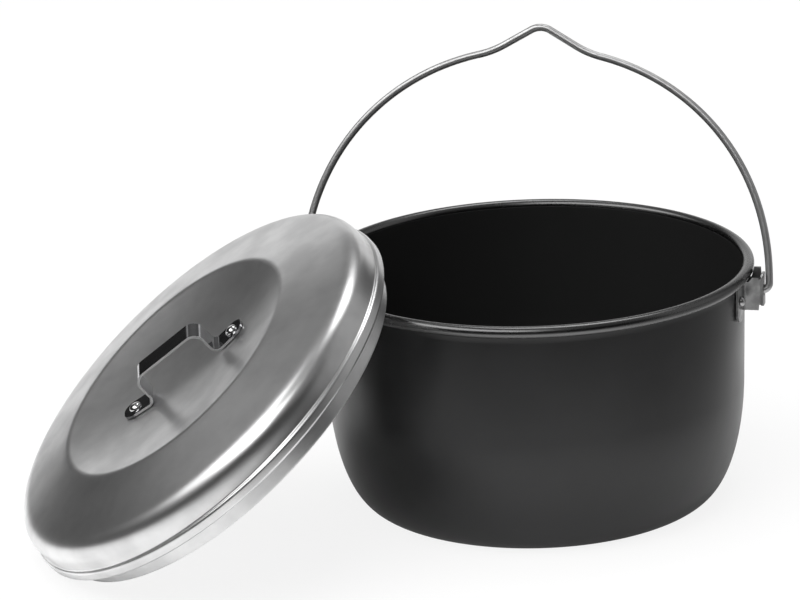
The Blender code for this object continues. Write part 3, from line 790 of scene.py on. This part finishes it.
def lid_outside():
    """Crown, a small cove above the bead, the bead and the skirt."""
    corner = LID_BEAD_CORNER
    cove = LID_WALL_STEP - corner / 2
    edge = LID_SHEET / 4
    points = lid_crown()
    points += arc((LID_WALL_RADIUS + cove, LID_BEAD_HEIGHT + cove), cove, 180, LID_COVE_END,
                  steps=8)
    points += arc((LID_BEAD_RADIUS - corner, LID_BEAD_HEIGHT - corner), corner,
                  LID_BEAD_START, 0, steps=12)
    points += arc((LID_BEAD_RADIUS - corner, corner), corner, 0, -90, steps=14)
    points.append((LID_SKIRT_RADIUS + GAP, 0.0))
    points.append((LID_SKIRT_RADIUS, -GAP))
    points += between((LID_SKIRT_RADIUS, 0.0), (LID_SKIRT_RADIUS, -LID_SKIRT), SKIRT_STEPS)
    points += arc((LID_SKIRT_RADIUS - edge, edge - LID_SKIRT), edge, 0, -90, steps=4)
    return points


def lid_inside():
    """The sheet's inner side, from the lower edge of the skirt to the middle."""
    corner = LID_BEAD_CORNER
    points = lid_crown()
    points.append((LID_WALL_RADIUS, LID_BEAD_HEIGHT + LID_SHEET))
    points += arc((LID_BEAD_RADIUS - corner, LID_BEAD_HEIGHT - corner), corner, 90, 0, steps=12)
    points += arc((LID_BEAD_RADIUS - corner, corner), corner, 0, -90, steps=12)
    points.append((LID_SKIRT_RADIUS, 0.0))
    points.append((LID_SKIRT_RADIUS, -LID_SKIRT))
    return inset(points, LID_SHEET)[::-1]


def lid_matrix():
    """The lid's place: its lean is set, and its middle is that of the skirt's
    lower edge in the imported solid."""
    lean = math.radians(LID_LEAN)
    heading = math.radians(LID_LEAN_HEADING)
    axis = Vector((math.sin(lean) * math.cos(heading), math.sin(lean) * math.sin(heading),
                   math.cos(lean)))
    level = Vector((0.0, 0.0, 1.0)).cross(axis).normalized()
    uphill = axis.cross(level)
    turn = math.radians(STRAP_TURN)
    strap = level * math.sin(turn) + uphill * math.cos(turn)
    across = axis.cross(strap)
    corners = [v.co for v in frame["nodes"]["lid_shell"].data.vertices]
    low = min(p.dot(axis) for p in corners)
    ring = [p for p in corners if p.dot(axis) < low + LID_SHEET / 4]
    middle = axis * (low + LID_SKIRT)
    for side in (strap, across):
        reach = [p.dot(side) for p in ring]
        middle += side * ((min(reach) + max(reach)) / 2)
    axes = Matrix((strap, across, axis)).transposed().to_4x4()
    return Matrix.Translation(middle) @ axes


def rivet_profile(head, dome, grip):
    """A domed head, a shank through the sheets and a flat, chamfered tail."""
    seat = -grip - GAP
    bottom = seat - RIVET_TAIL_HEIGHT
    chamfer = RIVET_TAIL_CHAMFER
    points = ellipse_arc((0.0, GAP), (head / 2, dome), 90, 0, steps=22)
    points.append((head / 2 - GAP / 2, GAP / 2))
    points.append((RIVET_SHANK / 2, GAP / 2))
    points.append((RIVET_SHANK / 2, seat))
    points.append((RIVET_TAIL / 2 - GAP / 2, seat))
    points += arc((RIVET_TAIL / 2 - chamfer, bottom + chamfer), chamfer, 0, -90, steps=6)
    points.append((0.0, bottom))
    return points


def ear_half(side_top):
    """Half of an ear in plan with the heights of its lower and upper edge."""
    side = HAT_HALF_WIDTH - EAR_SHEET / 2
    bend = HAT_BEND + EAR_SHEET / 2
    foot_bend = FLANGE_BEND + EAR_SHEET / 2
    web = [(WEB_MIDDLE, (side - bend) * k / WEB_STEPS) for k in range(WEB_STEPS + 1)]
    web += arc((WEB_MIDDLE - bend, side - bend), bend, 0, 90, steps=8)[1:]
    rows = []
    for x, y in web:
        drop = round_drop(side - y, WEB_CORNER)
        rows.append((x, y, WEB_BOTTOM + drop, WEB_TOP - drop))
    clear = RIM_RADIUS + 2 * GAP
    rows.append((WEB_MIDDLE - bend - GAP, side, SIDE_BOTTOM, side_top))
    rows.append((clear, side, SIDE_BOTTOM, side_top))
    rows.append((clear - ROLL_RADIUS / 2, side, SIDE_BOTTOM, FLANGE_TOP))
    start = math.asin(side / FLANGE_MIDDLE) + foot_bend / FLANGE_MIDDLE
    inner = (FLANGE_MIDDLE + foot_bend) * math.cos(start)
    for x, y in arc((inner, side + foot_bend), foot_bend, -90, -180, steps=6)[:-1]:
        rows.append((x, y, SIDE_BOTTOM, FLANGE_TOP))
    end = FLANGE_REACH / FLANGE_MIDDLE
    for k in range(FLANGE_STEPS + 1):
        # Closer together towards both ends.
        angle = start + (end - start) * (1 - math.cos(math.pi * k / FLANGE_STEPS)) / 2
        run = (angle - start) * FLANGE_MIDDLE
        left = (end - angle) * FLANGE_MIDDLE
        drop = max(round_drop(run, FLANGE_DROP), round_drop(left, FLANGE_CORNER))
        rows.append((FLANGE_MIDDLE * math.cos(angle), FLANGE_MIDDLE * math.sin(angle),
                     FLANGE_BOTTOM + drop, FLANGE_TOP - round_drop(left, FLANGE_TOP_CORNER)))
    return rows


def ear_rows():
    """A whole ear from end to end. Its back side wall is the taller one."""
    front = [(x, -y, low, high) for x, y, low, high in ear_half(SIDE_TOP)]
    return front[::-1] + ear_half(STOP_TOP)[1:]


def ear_rivet_places(side):
    """The places of an ear's two rivets, the front one first."""
    places = []
    for way in (-1, 1):
        angle = math.asin(EAR_RIVET_OFFSET / FLANGE_OUTSIDE) * way
        if side < 0:
            angle = math.pi - angle
        turn = Matrix.Rotation(angle, 4, "Z") @ Matrix.Rotation(math.radians(90), 4, "Y")
        spot = Vector((FLANGE_OUTSIDE * math.cos(angle), FLANGE_OUTSIDE * math.sin(angle),
                       EAR_RIVET_HEIGHT))
        places.append(Matrix.Translation(spot) @ turn)
    return places


def strap_rivet_places():
    """The places of the strap's rivets on the lid, the lower one first."""
    lift = GAP + STRAP_SHEET + GAP / 3
    places = []
    for x in (STRAP_OFFSET - STRAP_RIVET_OFFSET, STRAP_OFFSET + STRAP_RIVET_OFFSET):
        slope = 2 * LID_DISH_DEPTH * x / LID_CREASE_RADIUS ** 2
        spot = Vector((x, 0.0, dish_height(abs(x)) + lift))
        places.append(Matrix.Translation(spot) @ Matrix.Rotation(-math.atan(slope), 4, "Y"))
    return places


def strap_edges():
    """The two long edges of the strap, which narrow to its rounded tips."""
    grip = LID_DISH_MIDDLE + STRAP_RISE - STRAP_SHEET / 2
    lift = GAP + STRAP_SHEET / 2
    half = STRAP_WIDTH / 2

    def foot(x):
        return x, dish_height(math.hypot(x, half)) + lift

    left, right = STRAP_OFFSET - STRAP_LEG_OFFSET, STRAP_OFFSET + STRAP_LEG_OFFSET
    tips = STRAP_OFFSET - STRAP_HALF_LENGTH, STRAP_OFFSET + STRAP_HALF_LENGTH
    top_bend = STRAP_TOP_BEND - STRAP_SHEET / 2
    path = rounded_path([foot(tips[0]), foot(left), (left, grip), (right, grip), foot(right),
                         foot(tips[1])],
                        [STRAP_FOOT_BEND, top_bend, top_bend, STRAP_FOOT_BEND], steps=16)
    first, last = path[0], path[-1]
    inwards = (path[1] - first).normalized(), (path[-2] - last).normalized()
    reach = [half * (1 - math.cos(math.radians(90 * k / STRAP_TIP_STEPS)))
             for k in range(STRAP_TIP_STEPS + 1)]
    start = [first + inwards[0] * distance for distance in reach]
    end = [last + inwards[1] * distance for distance in reversed(reach)]
    low, high = [], []
    for p in start + path[1:-1] + end:
        left_over = STRAP_HALF_LENGTH - abs(p.x - STRAP_OFFSET)
        width = half - (half - STRAP_TIP_WIDTH / 2) / half * round_drop(left_over, half)
        low.append((p.x, -width, p.y))
        high.append((p.x, width, p.y))
    return low, high


def bail_points():
    """The wire's middle line with its radius factor, across and up."""
    end = WEB_OUTSIDE - EAR_SHEET - GAP - BAIL_BUTTON_LENGTH
    neck = end + BAIL_BUTTON_LENGTH
    button = BAIL_BUTTON / BAIL_WIRE
    face = button * BAIL_BUTTON_FACE
    half = [(end, 0.0, face), (end + GAP / 2, 0.0, button), (neck - GAP / 2, 0.0, button),
            (neck, 0.0, face), (neck + GAP / 4, 0.0, 1.0)]
    bend = arc((BAIL_HALF_SPAN - BAIL_BEND, BAIL_BEND), BAIL_BEND, -90, 0, steps=14)
    foot_angle = math.asin((2 * BAIL_BEND / BAIL_RISE) ** (BAIL_POWER / 2))
    knee_angle = math.acos((BAIL_KNEE_OFFSET / BAIL_HALF_SPAN) ** (BAIL_POWER / 2))
    arch = []
    for k in range(BAIL_ARCH_STEPS + 1):
        angle = foot_angle + (knee_angle - foot_angle) * k / BAIL_ARCH_STEPS
        arch.append((BAIL_HALF_SPAN * math.cos(angle) ** (2 / BAIL_POWER),
                     BAIL_RISE * math.sin(angle) ** (2 / BAIL_POWER)))
    # The peak's corner lies above its rounded top, and a few rounds find it.
    knee_across, knee_up = arch[-1]
    corner = BAIL_PEAK
    for _ in range(8):
        slope = math.atan2(corner - knee_up, knee_across)
        corner = BAIL_PEAK + BAIL_PEAK_RADIUS * (1 / math.cos(slope) - 1)
    peak = rounded_path([arch[-1], (0.0, corner), (-knee_across, knee_up)],
                        [BAIL_PEAK_RADIUS], steps=24)
    # Each knee is bent with a small radius, drawn as a parabola.
    knee = Vector(arch[-1])
    before = Vector(arch[-BAIL_KNEE_POINTS])
    after = knee + (peak[1] - knee).normalized() * (knee - before).length
    line = bend + arch[:-BAIL_KNEE_POINTS] + parabola(before, knee, after, steps=8)
    half += [(x, z, 1.0) for x, z in line]
    top = [(p.x, p.y, 1.0) for p in peak[1:-1]]
    return half + top + [(-x, z, factor) for x, z, factor in reversed(half)]


def build_pot(materials):
    pot = turned("pot_shell", pot_profile(), POT_STEPS, materials["coat"])
    settle(pot, "pot", "pot", "pot_body")
    rows = ear_rows()
    hinge = (Matrix.Translation((0.0, 0.0, HINGE_HEIGHT))
             @ Matrix.Rotation(math.radians(90), 4, "Y"))
    grip = EAR_SHEET + GAP + POT_SHEET + GAP / 2
    profile = rivet_profile(EAR_RIVET_HEAD, EAR_RIVET_DOME, grip)
    for side, word in ((1, "right"), (-1, "left")):
        low = [(x * side, y, bottom) for x, y, bottom, top in rows]
        high = [(x * side, y, top) for x, y, bottom, top in rows]
        ear = sheet_strip("ear_" + word, low, high, EAR_SHEET, materials["ear"])
        cutter = cut_hole(ear, hinge, BAIL_HOLE, 2 * WEB_OUTSIDE + BAIL_HOLE)
        ease_edges(ear, EDGE_ROUND)
        shade_sheet(ear)
        bpy.data.objects.remove(cutter)
        settle(ear, "pot", "ear", "ear_bracket_" + word)
        for place, end in zip(ear_rivet_places(side), ("front", "back")):
            name = "ear_rivet_" + word + "_" + end
            rivet = turned(name + "_fine", profile, RIVET_STEPS, materials["rivet"], place)
            settle(rivet, "pot", "ear_rivet", name)


def build_bail(materials):
    curve = bpy.data.curves.new("bail", "CURVE")
    curve.dimensions = "3D"
    curve.bevel_depth = BAIL_WIRE / 2
    curve.bevel_resolution = 7
    curve.use_fill_caps = True
    points = bail_points()
    spline = curve.splines.new("POLY")
    spline.points.add(len(points) - 1)
    spline.use_smooth = True
    for point, (x, z, factor) in zip(spline.points, points):
        point.co = (x, 0.0, z, 1.0)
        point.radius = factor
    wire = link(bpy.data.objects.new("bail_curve", curve), materials["wire"])
    graph = bpy.context.evaluated_depsgraph_get()
    mesh = bpy.data.meshes.new_from_object(wire.evaluated_get(graph))
    bpy.data.objects.remove(wire)
    # The curve's end caps are loose.
    bm = bmesh.new()
    bm.from_mesh(mesh)
    bmesh.ops.remove_doubles(bm, verts=bm.verts, dist=MERGE_DISTANCE)
    bm.to_mesh(mesh)
    bm.free()
    bail = link(bpy.data.objects.new("bail", mesh))
    shade(mesh, WIRE_SHARP)
    bail.matrix_world = (Matrix.Translation((0.0, 0.0, HINGE_HEIGHT))
                         @ Matrix.Rotation(math.radians(-BAIL_LEAN), 4, "X"))
    settle(bail, "bail", "bail", "bail_wire")


def build_lid(materials, place):
    cover = turned("lid_cover", lid_outside() + lid_inside(), LID_STEPS, materials["lid"],
                   place)
    settle(cover, "lid", "lid", "lid_shell")
    low, high = strap_edges()
    strap = sheet_strip("strap_handle", low, high, STRAP_SHEET, materials["strap"])
    ease_edges(strap, EDGE_ROUND)
    strap.matrix_world = place
    shade_sheet(strap)
    settle(strap, "lid", "strap", "lid_handle")
    grip = STRAP_SHEET + GAP + LID_SHEET + GAP
    profile = rivet_profile(LID_RIVET_HEAD, LID_RIVET_DOME, grip)
    for spot, word in zip(strap_rivet_places(), ("lower", "upper")):
        rivet = turned("strap_rivet_" + word, profile, RIVET_STEPS, materials["strap_rivet"],
                       place @ spot)
        settle(rivet, "lid", "strap_rivet", "lid_rivet_" + word)


def main():
    bpy.context.scene.view_settings.view_transform = "Standard"
    add_camera()
    studio_world()
    studio_floor()
    for lamp in LAMPS:
        add_lamp(*lamp)
    lid_place = lid_matrix()
    materials = make_materials(lid_place)
    build_pot(materials)
    build_bail(materials)
    build_lid(materials, lid_place)


main()
